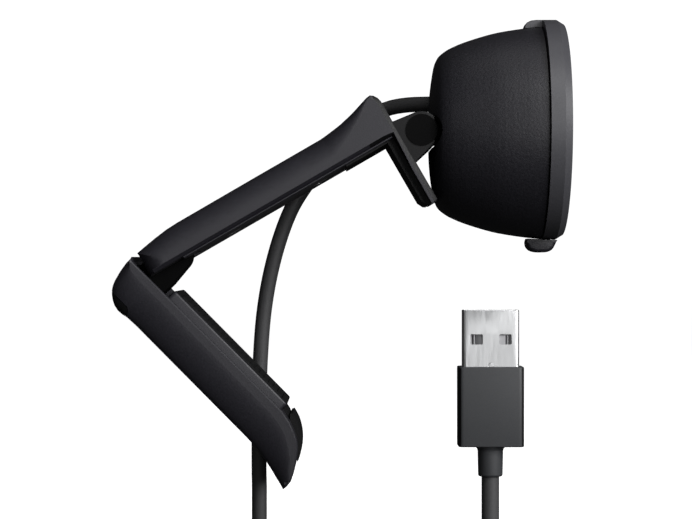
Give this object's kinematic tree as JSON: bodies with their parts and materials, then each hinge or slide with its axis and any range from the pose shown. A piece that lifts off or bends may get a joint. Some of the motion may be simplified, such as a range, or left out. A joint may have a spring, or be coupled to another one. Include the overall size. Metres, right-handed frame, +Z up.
{
  "type": "clip-on webcam",
  "caption": "Round webcam with a tilting camera head, a screen clip whose hinged leg folds down, a swinging lens cover, and a lead that ends in a USB-A plug.",
  "frame": {"origin": "middle of the underside pad of the clip's arm, which rests on a screen's top edge", "axes": "+X the way the lens looks, +Z up, +Y to the camera's left, away from the viewer of the side view; head nose-down against its stop and leg half open, as shown"},
  "size_m": [0.1069, 0.1044, 0.1381],
  "materials": {
    "soft_charcoal": "fine-grained matt",
    "ring_grey": "satin",
    "moulded_black": "matt",
    "gloss_black": "polished",
    "window_glass": "clear",
    "coated_glass": "coated",
    "lens_black": "matt",
    "sensor_chip": "polished",
    "board_green": "solder mask",
    "screw_steel": "plain",
    "connector_ivory": "matt",
    "lead_grey": "matt",
    "brass_can": "plain",
    "led_white": "clear",
    "rubber_black": "matt",
    "plug_grey": "fine-grained matt",
    "tongue_grey": "fine-grained matt",
    "plug_steel": "satin",
    "contact_brass": "bright"
  },
  "bodies": {
    "clip": {"clip_bracket": "soft_charcoal", "arm_base": "soft_charcoal", "arm_stiffener": "screw_steel", "base_screws": "screw_steel", "arm_pad": "rubber_black", "lip_pad": "rubber_black", "tilt_pin": "screw_steel", "tilt_caps": "moulded_black", "friction_washers": "screw_steel", "leg_pin": "screw_steel", "leg_pin_plug": "moulded_black", "cord": "lead_grey", "cord_hank": "lead_grey", "cord_ties": "rubber_black", "plug_lead": "lead_grey", "plug_relief": "rubber_black", "plug_body": "plug_grey", "plug_shell": "plug_steel", "plug_tongue": "tongue_grey", "plug_contacts": "contact_brass"},
    "head": {"head_shell": "soft_charcoal", "tilt_knuckle": "moulded_black", "front_ring": "ring_grey", "face_plate": "gloss_black", "lens_window": "window_glass", "lens_barrel": "lens_black", "lens_glass": "coated_glass", "lens_holder": "lens_black", "image_sensor": "sensor_chip", "main_board": "board_green", "board_screws": "screw_steel", "chassis": "moulded_black", "board_connector": "connector_ivory", "inner_lead": "lead_grey", "microphones": "brass_can", "status_led": "led_white", "light_pipe": "led_white", "shutter_pivot": "screw_steel", "cord_grommet": "rubber_black"},
    "shutter": {"shutter_blade": "ring_grey"},
    "leg": {"leg_shell": "soft_charcoal", "leg_lug": "moulded_black", "lug_screws": "screw_steel", "leg_block": "soft_charcoal", "leg_pad": "rubber_black", "foot_neck": "rubber_black", "foot_pad": "rubber_black", "heel_pad": "rubber_black"}
  },
  "joints": [
    {"name": "head_tilt", "type": "hinge", "parent": "clip", "child": "head", "pos_m": [0.01315, 0, 0.006], "axis": [0, 1, 0], "range_deg": [-45, 0], "deforming": ["cord"]},
    {"name": "shutter_swing", "type": "hinge", "parent": "head", "child": "shutter", "pos_m": [0.0442, 0, 0.027], "axis": [1, 0, 0], "range_deg": [0, 18]},
    {"name": "leg_fold", "type": "hinge", "parent": "clip", "child": "leg", "pos_m": [-0.0454, 0, -0.0234], "axis": [0, 1, 0], "range_deg": [-72, 15]}
  ]
}
